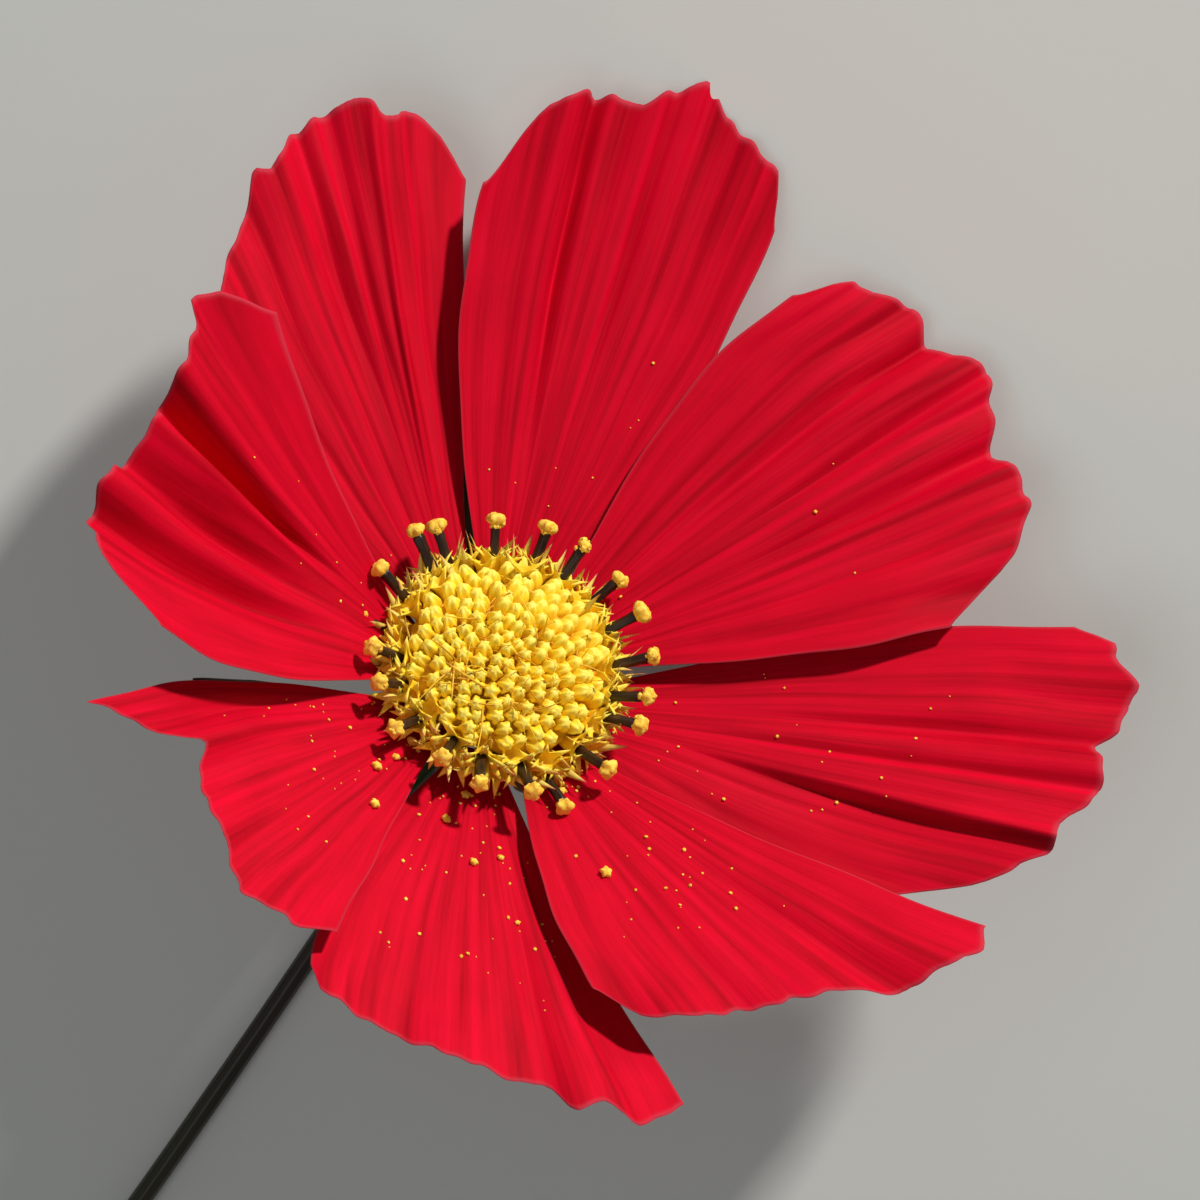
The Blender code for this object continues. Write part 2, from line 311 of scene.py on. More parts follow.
def ribbed_body(profile, rings, sides, ribs, rib_height):
    """A profile of (radius, height), read at even steps and turned about +Z, with a cosine of ribs."""
    length = np.concatenate([[0], np.cumsum(np.linalg.norm(np.diff(profile, axis=0), axis=1))])
    step = np.linspace(0, length[-1], rings)
    radius = np.interp(step, length, profile[:, 0])
    height = np.interp(step, length, profile[:, 1])
    angle = np.linspace(0, 2 * math.pi, sides, endpoint=False)
    ribbed = radius[1:-1, None] * (1 + rib_height * np.cos(ribs * angle))
    return closed_body(ribbed, np.broadcast_to(height[1:-1, None], ribbed.shape), height[0], height[-1])


green_finish, tree, shader = new_finish("green", 0.5)
patches = add_noise(tree, object_place(tree), (1, 1, 1), 420, 5)
shade = add_ramp(tree, patches, [(0.3, (0.018, 0.045, 0.010)), (0.55, (0.05, 0.105, 0.022)),
                                 (0.75, (0.10, 0.13, 0.035))])
paint(tree, shader, shade, patches, 0.3, 0.0002)

cup_points, cup_faces = ribbed_body(cup_profile, cup_rings, cup_sides, cup_ribs, cup_rib_height)
add_piece("receptacle_cup", on_head(cup_points), cup_faces, green_finish, "green", "receptacle")

# ---- Bracts -----------------------------------------------------------------------------------
# Two whorls of eight leaves that grow below the petals. The outer ones are narrow, green and
# spread like a star; the inner ones are broad, thin and yellow-green with a dry edge, and lie
# against the petals' claws.

bract_count = 8
bract_rows = 60
bract_columns = 17
bract_smoothing = 0.06
midrib_height = 0.08
midrib_width = 0.18
outer_turn_first = 124
outer_thickness = 0.3 * MM
outer_path = [(2.5, -5.4), (6.0, -5.1), (11.0, -4.0), (16.0, -2.8), (21.0, -1.2)]
outer_halves = [0.8, 1.1, 1.2, 0.9, 0.10]
outer_trough = 0.25
outer_droop = 0.5
inner_turn_first = 14
inner_thickness = 0.2 * MM
inner_path = [(2.9, -4.3), (3.9, -2.7), (5.0, -1.0), (7.4, -0.1), (9.6, 0.7)]
inner_halves = [0.8, 1.2, 1.5, 1.6, 0.15]
inner_trough = 0.2


def turned(points, degrees):
    """Points turned anticlockwise about the head's axis."""
    angle = math.radians(degrees)
    x = points[..., 0] * math.cos(angle) - points[..., 1] * math.sin(angle)
    y = points[..., 0] * math.sin(angle) + points[..., 1] * math.cos(angle)
    return np.stack([x, y, points[..., 2]], axis=-1)


def bract_points(path, halves, trough, lift, degrees):
    """A leaf along a path of (out, up) in mm, read as the mean of three places near each other.

    The half width follows halves, the middle dips as a parabola with a rib in it and the tip lifts by a cube.
    """
    along, across = np.meshgrid(np.linspace(0, 1, bract_rows), np.linspace(-1, 1, bract_columns),
                                indexing="ij")
    steps = np.linspace(0, 1, len(path))
    bend = np.array(path)
    near = (-bract_smoothing, 0, bract_smoothing)
    out = sum(np.interp(along + shift, steps, bend[:, 0]) for shift in near) / 3
    up = sum(np.interp(along + shift, steps, bend[:, 1]) for shift in near) / 3
    half = np.interp(along, steps, halves)
    rib = midrib_height * np.exp(-((across / midrib_width) ** 2)) * (1 - along)
    dip = trough * (1 - across**2) + rib
    return turned(np.stack([out, across * half, up - dip + lift * along**3], axis=-1) * MM, degrees)


def add_leaf(name, middle, thickness, finish, slot, node):
    """A closed leaf from its middle sheet: two faces set off along the sheet's normals, joined by a rim.

    The wall thins to the sides and the tip. The leaf has a map of (across, along), and a value, under,
    which is 1 on its lower face.
    """
    rows, columns = middle.shape[:2]
    normal = np.cross(np.gradient(middle, axis=0), np.gradient(middle, axis=1))
    normal /= np.linalg.norm(normal, axis=-1, keepdims=True)
    across = np.linspace(-1, 1, columns)[None, :]
    along = np.linspace(0, 1, rows)[:, None]
    side_taper = np.sqrt(np.clip(1.02 - across**8, 0, 1))
    tip_taper = np.sqrt(np.clip(1.02 - along**12, 0, 1))
    wall = normal * (0.5 * thickness * side_taper * tip_taper)[..., None]
    points = np.concatenate([(middle + wall).reshape(-1, 3), (middle - wall).reshape(-1, 3)])
    number = np.arange(rows * columns).reshape(rows, columns)
    upper = np.stack([number[:-1, :-1], number[1:, :-1], number[1:, 1:], number[:-1, 1:]], axis=-1)
    upper = upper.reshape(-1, 4)
    rim = np.concatenate([number[0, :-1], number[:-1, -1], number[-1, :0:-1], number[:0:-1, 0]])
    after = np.roll(rim, -1)
    below = rows * columns
    edge = np.stack([rim, after, after + below, rim + below], axis=-1)
    faces = np.concatenate([upper, upper[:, ::-1] + below, edge])
    leaf = add_piece(name, on_head(points), faces.tolist(), finish, slot, node)
    flat = np.stack(np.broadcast_arrays(across * 0.5 + 0.5, along), axis=-1).reshape(-1, 2)
    corner = np.empty(len(leaf.data.loops), dtype=np.int32)
    leaf.data.loops.foreach_get("vertex_index", corner)
    leaf.data.uv_layers.new(name="leaf").data.foreach_set("uv", np.tile(flat, (2, 1))[corner].ravel())
    under = leaf.data.attributes.new("under", "FLOAT", "POINT")
    under.data.foreach_set("value", np.repeat([0.0, 1.0], below))


def leaf_place(tree):
    """The place on a leaf, as (across, along), both from 0 to 1."""
    leaf_map = tree.nodes.new("ShaderNodeUVMap")
    leaf_map.uv_map = "leaf"
    return leaf_map.outputs["UV"]


outer_finish, tree, shader = new_finish("outer_bract", 0.45)
fibres = add_noise(tree, leaf_place(tree), (14, 1.5, 1), 2.0, 3)
shade = add_ramp(tree, fibres, [(0.35, (0.014, 0.036, 0.009)), (0.6, (0.045, 0.10, 0.02)),
                                (0.75, (0.09, 0.15, 0.04))])
across_leaf, along_leaf = axes_of(tree, leaf_place(tree))
tip_share = add_ramp(tree, along_leaf, [(0.6, (0, 0, 0)), (1.0, (1, 1, 1))])
shade = mix_colours(tree, tip_share, shade, (0.035, 0.02, 0.014))
paint(tree, shader, shade, fibres, 0.3, 0.0002)

inner_finish, tree, shader = new_finish("inner_bract", 0.4)
fibres = add_noise(tree, leaf_place(tree), (22, 1.2, 1), 2.0, 3)
shade = add_ramp(tree, fibres, [(0.3, (0.11, 0.13, 0.035)), (0.7, (0.30, 0.28, 0.10))])
across_leaf, along_leaf = axes_of(tree, leaf_place(tree))
dry_share = add_ramp(tree, across_leaf, [(0.0, (1, 1, 1)), (0.2, (0, 0, 0)), (0.8, (0, 0, 0)),
                                         (1.0, (1, 1, 1))])
shade = mix_colours(tree, dry_share, shade, (0.42, 0.30, 0.14))
paint(tree, shader, shade, fibres, 0.3, 0.0002)

for count in range(bract_count):
    step = 360 / bract_count * count
    name = f"outer_bract_{count + 1}"
    lift = outer_droop * math.sin(3 * count)
    sheet = bract_points(outer_path, outer_halves, outer_trough, lift, outer_turn_first + step)
    add_leaf(f"{name}_leaf", sheet, outer_thickness, outer_finish, "green", name)
    name = f"inner_bract_{count + 1}"
    sheet = bract_points(inner_path, inner_halves, inner_trough, 0.0, inner_turn_first + step)
    add_leaf(f"{name}_leaf", sheet, inner_thickness, inner_finish, "inner_bract", name)

# ---- Petals -----------------------------------------------------------------------------------
# Eight ray petals, each one soft leaf about a sixth of a millimetre thick. They grow from the
# receptacle's rim by a narrow claw, and open to a blade with lengthwise pleats and a toothed tip.

petal_base = 4.7 * MM
claw_half_width = 1.2 * MM
petal_thickness = 0.16 * MM
petal_rows = 110
petal_columns = 170
scallop_height = 0.22 * MM
fine_scallop_height = 0.1 * MM
edge_waver = 0.12 * MM
pleat_depth = 0.26
fine_pleat_depth = 0.03
tip_wave_height = 0.35
fold_run = 0.5

# turn and rise in degrees, widths, heights and reaches in mm. A fold is (place across at its root,
# place across at its tip, half width across, height, where along it starts); a step is the same
# for a blade that drops beyond a line across it.
petals = [
    dict(turn=57, rise=20, level=0.0, right=11.5, left=11.0, full_right=0.42, full_left=0.8, curl=0.0,
         edge_lift=0.0, cup=-0.3, pleats=8, relief=1.0,
         tip=[(-1, 32.0), (-0.95, 35.8), (-0.88, 37.4), (-0.74, 38.6), (-0.67, 38.0), (-0.4, 40.0), (0, 39.2),
              (0.22, 37.2), (0.35, 37.4), (0.48, 35.0), (0.82, 31.0), (1, 26.0)],
         folds=[(-0.35, -0.52, 0.035, 0.55, 0.15), (0.10, 0.02, 0.12, -0.9, 0.3),
                (-0.15, -0.22, 0.06, -0.5, 0.2)],
         steps=[(-0.40, -0.56, 0.05, -0.8, 0.1)]),
    dict(turn=106, rise=33, level=1.1, right=13.2, left=12.8, full_right=0.22, full_left=1.0, curl=0.0,
         edge_lift=0.0, cup=0.5, pleats=7, relief=0.55,
         tip=[(-1, 22.5), (-0.94, 27.0), (-0.82, 29.4), (-0.7, 28.2), (-0.5, 28.3), (-0.1, 28.9), (0.2, 30.1),
              (0.38, 31.3), (0.48, 30.7), (0.6, 31.0), (0.83, 29.4), (1, 24.0)],
         folds=[(-0.15, -0.30, 0.10, -3.0, 0.3), (0.30, 0.14, 0.10, -2.2, 0.25),
                (0.55, 0.52, 0.12, -2.4, 0.2),
                (0.05, -0.15, 0.09, 0.9, 0.3)],
         steps=[]),
    dict(turn=158, rise=27, level=0.55, right=10.0, left=11.2, full_right=0.95, full_left=0.5, curl=0.0,
         edge_lift=0.0, cup=-0.4, pleats=6, relief=0.35,
         tip=[(-1, 31.3), (-0.88, 29.8), (-0.6, 27.6), (-0.44, 24.8), (-0.31, 26.1), (-0.1, 27.6),
              (0.2, 28.3), (0.54, 30.0), (0.62, 29.3), (0.87, 28.1), (1, 25.0)],
         folds=[(-0.5, -0.42, 0.10, 0.8, 0.4), (-0.75, -0.66, 0.10, -0.5, 0.3)],
         steps=[]),
    dict(turn=204, rise=23, level=0.0, right=11.6, left=14.6, full_right=0.9, full_left=0.4, curl=0.0,
         edge_lift=0.0, cup=-0.5, pleats=7, relief=0.3,
         tip=[(-1, 27.0), (-0.96, 29.5), (-0.76, 30.8), (-0.3, 32.4), (0.21, 33.4), (0.34, 33.1),
              (0.45, 35.0), (0.6, 34.0), (0.77, 34.5), (0.92, 33.2), (1, 31.5)],
         folds=[(0.4, 0.35, 0.10, -0.5, 0.3)],
         steps=[(0.55, 0.72, 0.10, -1.6, 0.1)]),
    dict(turn=246, rise=24, level=1.1, right=11.0, left=13.3, full_right=0.85, full_left=0.37, curl=0.0,
         edge_lift=0.0, cup=-0.2, pleats=7, relief=0.3,
         tip=[(-1, 23.0), (-0.91, 26.9), (-0.63, 29.2), (-0.27, 30.8), (0.1, 32.3), (0.25, 33.4),
              (0.44, 35.2), (0.68, 35.0), (0.78, 35.6), (0.9, 35.4), (1, 34.0)],
         folds=[(0.25, 0.42, 0.10, -0.5, 0.35), (-0.3, -0.2, 0.14, 0.4, 0.4)],
         steps=[]),
    dict(turn=289, rise=20, level=0.0, right=10.5, left=12.0, full_right=0.8, full_left=0.85, curl=0.0,
         edge_lift=0.0, cup=-0.2, pleats=7, relief=0.45,
         tip=[(-1, 24.0), (-0.93, 29.0), (-0.74, 34.8), (-0.46, 38.6), (-0.3, 38.6), (0, 41.1),
              (0.27, 40.2), (0.37, 41.2), (0.68, 42.2), (0.83, 40.4), (0.95, 39.8), (1, 36.5)],
         folds=[(0.25, 0.30, 0.08, -0.7, 0.3), (0.0, 0.02, 0.05, -0.45, 0.2)],
         steps=[(-0.28, -0.42, 0.045, -1.5, 0.2)]),
    dict(turn=333, rise=22.5, level=1.1, right=13.0, left=13.0, full_right=0.75, full_left=0.95, curl=-1.2,
         edge_lift=0.9, cup=0.3, pleats=9, relief=0.95,
         tip=[(-1, 27.0), (-0.85, 33.7), (-0.62, 37.0), (-0.38, 37.4), (-0.3, 36.9), (0.12, 39.5),
              (0.25, 38.6), (0.39, 36.8), (0.6, 37.6), (0.78, 35.3), (0.92, 34.0), (1, 29.5)],
         folds=[(0.05, 0.12, 0.05, -0.7, 0.3), (-0.25, -0.28, 0.07, -0.9, 0.35),
                (0.35, 0.42, 0.05, -0.5, 0.2),
                (-0.6, -0.55, 0.10, -0.6, 0.4)],
         steps=[]),
    dict(turn=379, rise=22.0, level=0.55, right=10.2, left=10.4, full_right=0.9, full_left=1.0, curl=0.8,
         edge_lift=0.0, cup=0.2, pleats=8, relief=0.95,
         tip=[(-1, 33.6), (-0.93, 37.8), (-0.56, 40.0), (-0.28, 42.8), (0.13, 39.7), (0.42, 39.9),
              (0.75, 37.2), (1, 31.0)],
         folds=[(0.30, 0.42, 0.06, -1.0, 0.2), (-0.1, -0.12, 0.07, -0.5, 0.3), (0.55, 0.62, 0.12, 0.5, 0.3)],
         steps=[]),
]


def smooth_rise(value):
    """Nought below 0, one above 1, and a smooth S between."""
    held = np.clip(value, 0, 1)
    return held * held * (3 - 2 * held)


def petal_points(petal, along, across):
    """The middle sheet of a petal in head coordinates.

    Reach runs through the tip's named points with small scallops added; width grows from the claw;
    height is a cone about the head's axis, plus pleats, folds, a cupped cross-section and a curl.
    """
    places = [place for place, far in petal["tip"]]
    reaches = [far * MM for place, far in petal["tip"]]
    seed = petal["turn"]
    near = np.interp(across - 0.02, places, reaches) + np.interp(across + 0.02, places, reaches)
    scallop = scallop_height * np.abs(np.sin(across * 11 + seed))
    scallop = scallop + fine_scallop_height * np.sin(across * 37 + seed)
    far = near / 2 + scallop * smooth_rise((along - 0.7) / 0.3)
    full = np.where(across < 0, petal["full_right"], petal["full_left"])
    half = np.where(across < 0, petal["right"], petal["left"]) * MM
    widening = full * np.sin(along * math.pi / 2) + (1 - full) * along**2
    x = petal_base + (far - petal_base) * along
    y = across * (claw_half_width + (half - claw_half_width) * widening)
    y = y + edge_waver * np.sin(along * 19 + seed) * along * across
    out = np.hypot(x, y) - petal_base
    wander = across + 0.012 * np.sin(along * 7 + seed) + 0.01 * np.sin(along * 15 + 2 * seed)
    wave = 0.5 + 0.5 * np.cos(2 * math.pi * petal["pleats"] * 0.5 * wander + seed)
    fine = 0.5 + 0.5 * np.cos(2 * math.pi * petal["pleats"] * 1.5 * wander + 2 * seed)
    pleat = -pleat_depth * wave**3 * along**0.8 - fine_pleat_depth * fine**2 * along
    height = petal["curl"] * along**6 + petal["edge_lift"] * along * np.clip(across, 0, 1) ** 2
    height = height + petal["relief"] * pleat + petal["cup"] * across**2 * along
    for root, end, width, tall, start in petal["folds"]:
        middle = root + (end - root) * along
        ridge = np.exp(-(((across - middle) / width) ** 2))
        height = height + tall * ridge * smooth_rise((along - start) / fold_run)
    for root, end, width, tall, start in petal["steps"]:
        middle = root + (end - root) * along
        beyond = (across - middle) * np.sign(end)
        drop = smooth_rise(beyond / width / 2 + 0.5)
        height = height + tall * drop * smooth_rise((along - start) / fold_run)
    tip_wave = tip_wave_height * np.sin(across * 9 + seed) * smooth_rise((along - 0.72) / 0.28)
    z = petal["level"] * MM + math.tan(math.radians(petal["rise"])) * out + (height + tip_wave) * MM
    return turned(np.stack([x, y, z], axis=-1), petal["turn"])


# Petal skin: velvety crimson with fine lengthwise veins, deeper red in long soft streaks, a thin
# paler rim that is a painted highlight for the leaf's lit edges, and a paler, duller back.
petal_finish, tree, shader = new_finish("petal", 0.6)
streaks = add_noise(tree, leaf_place(tree), (16, 0.9, 1), 1.6, 3)
veins = add_noise(tree, leaf_place(tree), (46, 1.2, 1), 2.0, 2)
mottle = add_noise(tree, object_place(tree), (1, 1, 1), 260, 4)
red = add_ramp(tree, streaks, [(0.28, (0.40, 0.0004, 0.009)), (0.50, (0.62, 0.0008, 0.017)),
                               (0.72, (0.74, 0.001, 0.025))])
vein_tint = add_ramp(tree, veins, [(0.36, (0.70, 0.70, 0.70)), (0.55, (1, 1, 1))])
red = mix_colours(tree, 0.28, red, vein_tint, "MULTIPLY")
mottle_tint = add_ramp(tree, mottle, [(0.3, (0.84, 0.84, 0.84)), (0.7, (1, 1, 1))])
red = mix_colours(tree, 0.6, red, mottle_tint, "MULTIPLY")
across_leaf, along_leaf = axes_of(tree, leaf_place(tree))
# Painted highlight: a thin paler rim along each leaf's sides and tip stands for its lit edges.
sides = add_ramp(tree, across_leaf, [(0.0, (1, 1, 1)), (0.006, (0, 0, 0)), (0.994, (0, 0, 0)),
                                     (1.0, (1, 1, 1))])
ends = add_ramp(tree, along_leaf, [(0.986, (0, 0, 0)), (0.999, (1, 1, 1))])
rim_highlight = mix_colours(tree, 1.0, sides, ends, "LIGHTEN")
red = mix_colours(tree, rim_highlight, red, (0.50, 0.035, 0.06))
lower_face = tree.nodes.new("ShaderNodeAttribute")
lower_face.attribute_name = "under"
back = mix_colours(tree, 0.55, red, (0.42, 0.07, 0.10))
red = mix_colours(tree, lower_face.outputs["Fac"], red, back)
shader.inputs["Sheen Weight"].default_value = 0.03
shader.inputs["Sheen Roughness"].default_value = 0.4
shader.inputs["Sheen Tint"].default_value = (1.0, 0.05, 0.12, 1)
shader.inputs["Specular IOR Level"].default_value = 0.06
paint(tree, shader, red, veins, 0.14, 0.0002)

grid_along, grid_across = np.meshgrid(np.linspace(0, 1, petal_rows), np.linspace(-1, 1, petal_columns),
                                      indexing="ij")
for count, petal in enumerate(petals):
    name = f"petal_{count + 1}"
    sheet = petal_points(petal, grid_along, grid_across)
    add_leaf(f"{name}_blade", sheet, petal_thickness, petal_finish, "petal", name)

# ---- Closed florets ---------------------------------------------------------------------------
# The middle of the disc: tubular florets still shut, packed on the receptacle in the order that
# seeds take, each turned on from the last by the golden angle. Five ridges close over each bud.

golden_turn = math.pi * (3 - math.sqrt(5))
bud_count = 150
dome_radius = 6.7 * MM
dome_top = 7.3 * MM
dome_fall = 1.7 * MM
bud_sink = 0.55 * MM
bud_spread = 0.75
tint_step = 0.618


def stand_on(shape, places, aims, sizes, spins):
    """Copies of a small shape, one at each place with its +Z along the aim, as arrays of points."""
    up = aims / np.linalg.norm(aims, axis=1, keepdims=True)
    level = np.cross([0.31, 0.17, 0.94], up)
    level /= np.linalg.norm(level, axis=1, keepdims=True)
    flank = np.cross(up, level)
    x = shape[None, :, 0] * np.cos(spins)[:, None] - shape[None, :, 1] * np.sin(spins)[:, None]
    y = shape[None, :, 0] * np.sin(spins)[:, None] + shape[None, :, 1] * np.cos(spins)[:, None]
    z = np.broadcast_to(shape[None, :, 2], x.shape)
    local = x[..., None] * level[:, None] + y[..., None] * flank[:, None] + z[..., None] * up[:, None]
    return places[:, None] + local * sizes[:, None, None]


def add_copies(name, shape, faces, places, aims, sizes, spins, finish, slot):
    """One piece with a copy of the shape at each place.

    Its tint is a value from 0 to 1 for each copy, and its rise runs from 0 at a copy's foot to 1 at its top.
    """
    points = stand_on(shape, places, aims, sizes, spins)
    count, each = points.shape[:2]
    every = [tuple(corner + copy * each for corner in face) for copy in range(count) for face in faces]
    piece = add_piece(name, on_head(points).reshape(-1, 3), every, finish, slot)
    tint = piece.data.attributes.new("tint", "FLOAT", "POINT")
    tint.data.foreach_set("value", np.repeat(np.modf(np.arange(count) * tint_step)[0], each))
    rise = piece.data.attributes.new("rise", "FLOAT", "POINT")
    low, high = shape[:, 2].min(), shape[:, 2].max()
    rise.data.foreach_set("value", np.tile((shape[:, 2] - low) / (high - low), count))
    return piece


def lobed_shape(profile, sides, lobes, depth):
    """A turned profile of (radius, height, lobing): the radius swells by depth times a cosine of lobes."""
    angle = np.linspace(0, 2 * math.pi, sides, endpoint=False)
    walls = [(r * (1 + depth * lobing * np.cos(lobes * angle)), h + 0 * angle)
             for r, h, lobing in profile[1:-1]]
    radius, height = np.array(walls).transpose(1, 0, 2)
    return closed_body(radius, height, profile[0][1], profile[-1][1])


yellow_finish, tree, shader = new_finish("floret", 0.55)
pores = add_noise(tree, object_place(tree), (1, 1, 1), 900, 4)
each = tree.nodes.new("ShaderNodeAttribute")
each.attribute_name = "tint"
height = tree.nodes.new("ShaderNodeAttribute")
height.attribute_name = "rise"
shade = add_ramp(tree, height.outputs["Fac"], [(0.0, (0.55, 0.24, 0.01)), (0.55, (0.90, 0.55, 0.01)),
                                               (0.85, (1.0, 0.76, 0.03)), (1.0, (1.0, 0.86, 0.12))])
tinted = add_ramp(tree, each.outputs["Fac"], [(0.0, (1.0, 0.92, 0.85)), (1.0, (1, 1, 1))])
shade = mix_colours(tree, 0.8, shade, tinted, "MULTIPLY")
speckle = add_ramp(tree, pores, [(0.35, (0.92, 0.86, 0.7)), (0.55, (1, 1, 1))])
shade = mix_colours(tree, 0.7, shade, speckle, "MULTIPLY")
paint(tree, shader, shade, pores, 0.4, 0.0001)

bed_finish, tree, shader = new_finish("floret_bed", 0.7)
cells = add_noise(tree, object_place(tree), (1, 1, 1), 1400, 3)
shade = add_ramp(tree, cells, [(0.35, (0.55, 0.26, 0.006)), (0.65, (0.85, 0.50, 0.012))])
paint(tree, shader, shade, cells, 0.5, 0.0001)

bud_profile = [(0, -2.6, 0), (0.30, -2.5, 0), (0.42, -1.2, 0.4), (0.56, -0.2, 1), (0.55, 0.20, 1.3),
               (0.40, 0.62, 1.6), (0.16, 0.92, 1.2), (0, 0.80, 0)]
bud_shape, bud_faces = lobed_shape(bud_profile, 20, 5, 0.15)
index = np.arange(bud_count)
ring = np.sqrt((index + 0.5) / bud_count)
shake = np.random.default_rng(5)
bud_angle = index * golden_turn + shake.normal(0, 0.05, bud_count)
bud_radius = dome_radius * ring + shake.normal(0, 0.07, bud_count) * MM
bud_places = np.stack([bud_radius * np.cos(bud_angle), bud_radius * np.sin(bud_angle),
                       dome_top - bud_sink - dome_fall * ring**2.4 + shake.normal(0, 0.13, bud_count) * MM],
                      axis=-1)
bud_lean = bud_spread * ring**1.3
bud_aims = np.stack([bud_lean * np.cos(bud_angle), bud_lean * np.sin(bud_angle), np.ones(bud_count)], axis=-1)
bud_aims = bud_aims + shake.normal(0, 0.13, (bud_count, 3))
buds = add_copies("closed_florets", bud_shape * MM, bud_faces, bud_places, bud_aims, 0.94 + 0.12 * ring,
                  bud_angle * 1.7, yellow_finish, "disc")
dome_profile = np.array([(0.0, 2.2), (3.4, 2.4), (5.2, 3.2), (6.5, 4.0), (6.8, 4.5), (6.2, 5.1), (5.0, 5.7),
                         (3.0, 6.2), (0.0, 6.4)]) * MM
dome_points, dome_faces = ribbed_body(dome_profile, 60, 90, 24, 0.012)
add_piece("floret_bed", on_head(dome_points), dome_faces, bed_finish, "disc")
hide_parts("inner_florets")

# ---- Open florets -----------------------------------------------------------------------------
# Round the closed ones stand opened florets: a small trumpet with five pointed lobes. Those of
# the outer ring push out a dark ribbed anther tube that ends in a lump of yellow pollen.

star_count = 50
star_inner_ring = 6.6
throat_depth = 0.62
outer_count = 20
foot_ring = 3.4
foot_height = 1.95
trumpet_length = 5.3 * MM
anther_length = 2.75 * MM
knob_count = 160
knob_scale = 0.40


def star_shape(tube_radius, mouth_radius, lobe_reach, depth, sides):
    """A trumpet whose rim runs out in five pointed lobes: up its wall, over the lobes and down its throat."""
    angle = np.linspace(0, 2 * math.pi, sides, endpoint=False)
    still = np.zeros(sides)
    peak = 1 - np.abs(np.sin(2.5 * angle)) ** 0.8
    walls = [(tube_radius + still, -depth + still), (tube_radius * 1.15 + still, -0.35 * depth + still),
             (mouth_radius + still, -0.28 + still),
             (mouth_radius * 1.12 + lobe_reach * 0.5 * peak, 0.05 + 0.45 * peak),
             (mouth_radius * 1.10 + lobe_reach * peak, 0.10 + 0.85 * peak),
             (mouth_radius * 1.02 + lobe_reach * 0.45 * peak, 0.14 + 0.50 * peak),
             (mouth_radius * 0.84 + still, -0.05 + still), (mouth_radius * 0.5 + still, -0.5 + still)]
    radius, height = np.array(walls).transpose(1, 0, 2)
    return closed_body(radius, height, -depth, -throat_depth)


chance = np.random.default_rng(11)
star_points, star_faces = star_shape(0.40, 0.60, 1.05, 2.8, 40)
star_turn = np.arange(star_count) * golden_turn + 0.4
star_ring = 6.7 + 1.7 * np.sqrt(np.arange(star_count) / star_count) + chance.normal(0, 0.12, star_count)
star_height = 5.9 - 1.1 * (star_ring - star_inner_ring) + chance.normal(0, 0.12, star_count)
star_places = np.stack([star_ring * np.cos(star_turn), star_ring * np.sin(star_turn), star_height], axis=-1) * MM
lean = 0.8 + 0.5 * (star_ring - star_inner_ring)
star_aims = np.stack([lean * np.cos(star_turn), lean * np.sin(star_turn), np.ones(star_count)], axis=-1)
star_aims = star_aims + chance.normal(0, 0.12, star_aims.shape)
add_copies("open_florets", star_points * MM, star_faces, star_places, star_aims,
           0.9 + chance.normal(0, 0.06, star_count), star_turn * 2, yellow_finish, "disc")

outer_turn = 2 * math.pi * (np.arange(outer_count) + chance.normal(0, 0.10, outer_count)) / outer_count
outer_reach = 1 + chance.normal(0, 0.07, outer_count)
outer_rise = 0.62 + chance.normal(0, 0.10, outer_count)
outer_aims = np.stack([np.cos(outer_turn), np.sin(outer_turn), outer_rise], axis=-1)
outer_aims = outer_aims / np.linalg.norm(outer_aims, axis=1, keepdims=True)
outer_feet = np.stack([foot_ring * np.cos(outer_turn), foot_ring * np.sin(outer_turn),
                       np.full(outer_count, foot_height)], axis=-1) * MM
trumpet_points, trumpet_faces = star_shape(0.36, 0.62, 1.15, 4.8, 40)
outer_mouths = outer_feet + outer_aims * trumpet_length
trumpets = add_copies("outer_trumpets", trumpet_points * MM, trumpet_faces, outer_mouths, outer_aims,
                      np.ones(outer_count), outer_turn * 3, yellow_finish, "disc")
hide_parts(*[f"outer_floret_{count + 1}" for count in range(outer_count)])

tube_finish, tree, shader = new_finish("anther_tube", 0.38)
sheen = add_noise(tree, object_place(tree), (1, 1, 1), 700, 3)
shade = add_ramp(tree, sheen, [(0.35, (0.010, 0.004, 0.002)), (0.65, (0.04, 0.016, 0.006)),
                               (0.85, (0.12, 0.05, 0.012))])
paint(tree, shader, shade, sheen, 0.3, 0.0001)
tube_profile = [(0, -0.6, 0), (0.30, -0.6, 1), (0.33, 0.6, 1), (0.32, 1.7, 1), (0.36, 2.3, 1), (0.28, 2.6, 1),
                (0, 2.7, 0)]
tube_points, tube_faces = lobed_shape(tube_profile, 20, 5, 0.12)
add_copies("anther_tubes", tube_points * MM, tube_faces, outer_mouths, outer_aims, outer_reach, outer_turn,
           tube_finish, "disc")

pollen_finish, tree, shader = new_finish("pollen", 0.8)
grains = add_noise(tree, object_place(tree), (1, 1, 1), 2600, 3)
shade = add_ramp(tree, grains, [(0.35, (0.85, 0.45, 0.02)), (0.6, (1.0, 0.70, 0.09))])
paint(tree, shader, shade, grains, 0.7, 0.0001)
lump_profile = [(0, -0.35, 0), (0.36, -0.28, 0.4), (0.58, -0.05, 1), (0.62, 0.18, 1), (0.50, 0.42, 0.8),
                (0.26, 0.52, 0.5), (0, 0.48, 0)]
head_points, head_faces = lobed_shape(lump_profile, 20, 5, 0.22)
head_places = outer_mouths + outer_aims * (anther_length * outer_reach)[:, None]
add_copies("pollen_heads", head_points * MM, head_faces, head_places, outer_aims,
           1.0 + chance.normal(0, 0.12, outer_count), outer_turn * 5, pollen_finish, "disc")
knob_share = np.arange(knob_count) % outer_count
knob_way = chance.normal(0, 1, (knob_count, 3))
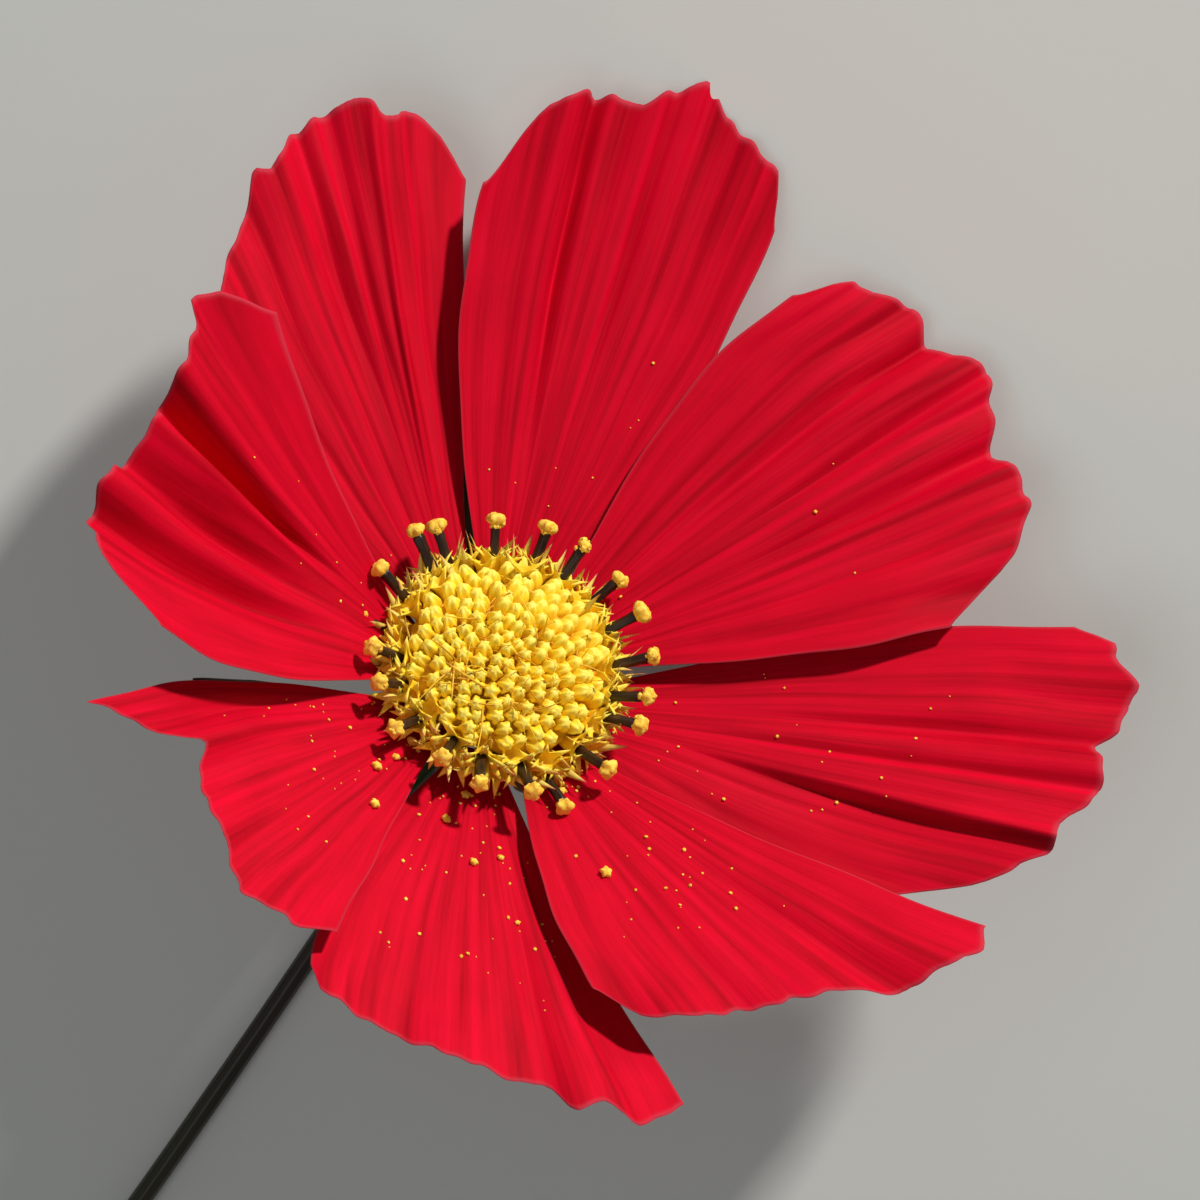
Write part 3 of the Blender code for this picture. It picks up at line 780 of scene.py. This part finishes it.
knob_way /= np.linalg.norm(knob_way, axis=1, keepdims=True)
knob_push = knob_way * chance.uniform(0.30, 0.52, knob_count)[:, None] * MM
add_copies("pollen_knobs", head_points * knob_scale * MM, head_faces, head_places[knob_share] + knob_push,
           knob_way, chance.uniform(0.6, 1.15, knob_count), np.arange(knob_count) * 1.3, pollen_finish,
           "disc")

# ---- Chaff scales -----------------------------------------------------------------------------
# A dry pointed scale grows beside each floret, pale yellow with a reddish tip, thin as paper. In
# the middle the scales lie over the buds like loose hairs.

scale_count = 84
scale_length = 2.9
scale_half_width = 0.36
scale_bend = 0.5
scale_inner_ring = 6.2
scale_thinness = 0.25
scale_tip = 0.012
hair_count = 60
hair_length = 3.2
hair_half_width = 0.07
hair_bend = 1.8
hair_reach = 5.2


def scale_shape(length, half_width, bend, sides=5, rings=9):
    """A tapering, flattened spike that bends over by a square law."""
    along = np.linspace(0, 1, rings)
    angle = np.linspace(0, 2 * math.pi, sides, endpoint=False)
    half = half_width * (1 - along**1.6) + scale_tip
    x = half[:, None] * np.cos(angle)[None, :]
    y = scale_thinness * half[:, None] * np.sin(angle)[None, :] + bend * along[:, None] ** 2
    z = np.broadcast_to((length * along)[:, None], x.shape)
    points = np.stack([x, y, z], axis=-1).reshape(-1, 3)
    skin, number, after = ring_skin(0, rings, sides)
    faces = skin + [number[0, ::-1].tolist(), number[-1].tolist()]
    return points, faces


scale_finish, tree, shader = new_finish("chaff", 0.45)
height = tree.nodes.new("ShaderNodeAttribute")
height.attribute_name = "rise"
shade = add_ramp(tree, height.outputs["Fac"], [(0.0, (0.75, 0.48, 0.05)), (0.7, (0.92, 0.74, 0.16)),
                                               (0.9, (0.80, 0.36, 0.12)), (1.0, (0.45, 0.05, 0.05))])
tree.links.new(shade, shader.inputs["Base Color"])
scale_points, scale_faces = scale_shape(scale_length, scale_half_width, scale_bend)
scale_turn = np.arange(scale_count) * golden_turn + 1.1
scale_ring = scale_inner_ring + 2.0 * np.sqrt(np.arange(scale_count) / scale_count)
scale_places = np.stack([scale_ring * np.cos(scale_turn), scale_ring * np.sin(scale_turn),
                         4.9 - 0.9 * (scale_ring - scale_inner_ring)], axis=-1) * MM
scale_aims = np.stack([0.8 * np.cos(scale_turn), 0.8 * np.sin(scale_turn), np.ones(scale_count)], axis=-1)
add_copies("chaff_scales", scale_points * MM, scale_faces, scale_places,
           scale_aims + chance.normal(0, 0.22, scale_aims.shape), np.ones(scale_count), scale_turn * 2.3,
           scale_finish, "disc")
hair_points, hair_faces = scale_shape(hair_length, hair_half_width, hair_bend)
hair_ring = hair_reach * np.sqrt(chance.random(hair_count))
hair_turn = chance.random(hair_count) * 2 * math.pi
hair_places = np.stack([hair_ring * np.cos(hair_turn), hair_ring * np.sin(hair_turn),
                        7.2 - 0.9 * (hair_ring / 5) ** 2], axis=-1) * MM
hair_aims = np.stack([chance.normal(0, 0.8, hair_count), chance.normal(0, 0.8, hair_count),
                      np.full(hair_count, 0.35)], axis=-1)
add_copies("chaff_hairs", hair_points * MM, hair_faces, hair_places, hair_aims,
           0.8 + 0.4 * chance.random(hair_count), chance.random(hair_count) * 6, yellow_finish, "disc")

# ---- Fallen pollen ----------------------------------------------------------------------------
# Pollen that has dropped on the petals, most of it on the lower ones near the disc, as single
# specks and a few larger crumbs.


def add_specks(name, petal_number, count, near, far, size):
    """Lumps scattered on one petal between two shares of its length, resting on its upper face."""
    petal = petals[petal_number - 1]
    along = near + (far - near) * chance.random(count) ** 1.6
    across = chance.uniform(-0.8, 0.8, count)
    here = petal_points(petal, along, across)
    ahead = petal_points(petal, along + 0.004, across) - here
    beside = petal_points(petal, along, across + 0.004) - here
    normal = np.cross(ahead, beside)
    normal /= np.linalg.norm(normal, axis=1, keepdims=True)
    sizes = size * (0.5 + chance.random(count) ** 2)
    place = here + normal * (0.5 * petal_thickness + 0.25 * MM * sizes[:, None])
    add_copies(name, head_points * MM, head_faces, place, normal + chance.normal(0, 0.3, normal.shape), sizes,
               chance.random(count) * 6, pollen_finish, "disc")


for petal_number, count in ((1, 4), (2, 8), (3, 46), (4, 52), (5, 56), (6, 34), (7, 7), (8, 8)):
    add_specks(f"specks_{petal_number}", petal_number, count, 0.12, 0.75, 0.15)
for petal_number, count in ((3, 5), (4, 7), (5, 3)):
    add_specks(f"crumbs_{petal_number}", petal_number, count, 0.15, 0.6, 0.45)
